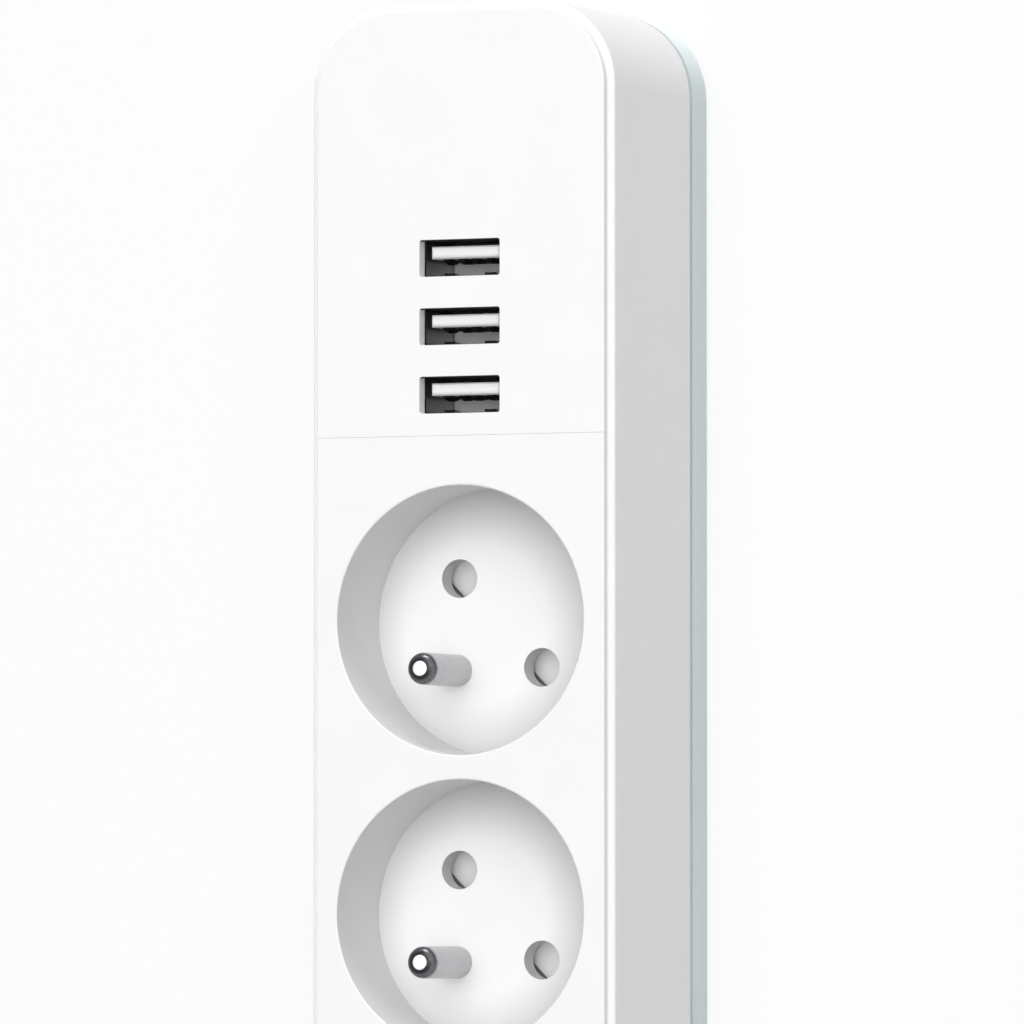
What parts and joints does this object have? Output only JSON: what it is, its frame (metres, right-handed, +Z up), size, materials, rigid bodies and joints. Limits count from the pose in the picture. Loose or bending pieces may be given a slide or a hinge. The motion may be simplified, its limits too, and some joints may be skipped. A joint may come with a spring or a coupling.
{
  "type": "smart power strip",
  "caption": "White smart power strip with round earthed sockets behind sliding shutters, USB-A ports in a set-in front panel, a push button and a cord gland.",
  "frame": {"origin": "middle of the back, on the surface that the strip lies on", "axes": "+X across the strip, +Y along it towards the USB end, +Z up out of the front face"},
  "size_m": [0.0492, 0.235, 0.038],
  "materials": {
    "front_white": "satin gloss, fine grain",
    "body_white": "satin",
    "cover_white": "satin, slightly cool white",
    "insert_white": "satin",
    "shutter_grey": "satin",
    "nickel": "polished",
    "steel": "plain",
    "brass": "plain",
    "usb_white": "plain",
    "carrier_plastic": "plain",
    "board_green": "solder mask",
    "black_plastic": "plain",
    "component_blue": "plain",
    "ferrite": "taped",
    "wire_brown": "plain",
    "cable_grey": "plain",
    "gland_white": "plain",
    "clear": "clear"
  },
  "bodies": {
    "housing": {"back_cover": "cover_white", "body_shell": "body_white", "socket_panel": "front_white", "usb_panel": "front_white", "cover_screws": "steel", "board_screws": "steel", "neutral_busbar": "brass", "earth_busbar": "brass", "live_feed_wire": "wire_brown", "wire_headers": "black_plastic", "control_board": "board_green", "relays": "component_blue", "transformer": "ferrite", "capacitors": "black_plastic", "fuse": "carrier_plastic", "varistor": "component_blue", "wireless_module": "board_green", "board_link": "black_plastic", "usb_board": "board_green", "button_spring": "steel", "button_board": "board_green", "tact_switch": "black_plastic", "light_guide": "clear", "status_led": "usb_white", "cord_gland": "gland_white", "terminal_block": "carrier_plastic", "terminal_screws": "brass", "button_cable": "cable_grey", "socket_insert_1": "insert_white", "socket_insert_2": "insert_white", "socket_insert_3": "insert_white", "shutter_spring_1": "steel", "shutter_spring_2": "steel", "shutter_spring_3": "steel", "earth_pin_1": "nickel", "earth_pin_2": "nickel", "earth_pin_3": "nickel", "contact_carrier_1": "carrier_plastic", "contact_carrier_2": "carrier_plastic", "contact_carrier_3": "carrier_plastic", "live_contact_1": "brass", "live_contact_2": "brass", "live_contact_3": "brass", "live_wire_1": "wire_brown", "live_wire_2": "wire_brown", "live_wire_3": "wire_brown", "usb_shell_1": "steel", "usb_shell_2": "steel", "usb_shell_3": "steel", "usb_tongue_1": "usb_white", "usb_tongue_2": "usb_white", "usb_tongue_3": "usb_white", "usb_contacts_1": "brass", "usb_contacts_2": "brass", "usb_contacts_3": "brass"},
    "shutter_1": {"shutter_1": "shutter_grey"},
    "shutter_2": {"shutter_2": "shutter_grey"},
    "shutter_3": {"shutter_3": "shutter_grey"},
    "power_button": {"power_button": "front_white"}
  },
  "joints": [
    {"name": "shutter_1_slide", "type": "slide", "parent": "housing", "child": "shutter_1", "axis": [0.7071, 0.7071, 0], "range_m": [0, 0.0058], "stiffness_N_per_m": 60, "springref_m": -0.005, "deforming": ["shutter_spring_1"]},
    {"name": "shutter_2_slide", "type": "slide", "parent": "housing", "child": "shutter_2", "axis": [0.7071, 0.7071, 0], "range_m": [0, 0.0058], "stiffness_N_per_m": 60, "springref_m": -0.005, "deforming": ["shutter_spring_2"]},
    {"name": "shutter_3_slide", "type": "slide", "parent": "housing", "child": "shutter_3", "axis": [0.7071, 0.7071, 0], "range_m": [0, 0.0058], "stiffness_N_per_m": 60, "springref_m": -0.005, "deforming": ["shutter_spring_3"]},
    {"name": "button_press", "type": "slide", "parent": "housing", "child": "power_button", "axis": [0, 0, -1], "range_m": [0, 0.0008], "stiffness_N_per_m": 250, "springref_m": -0.002, "deforming": ["button_spring"]}
  ]
}
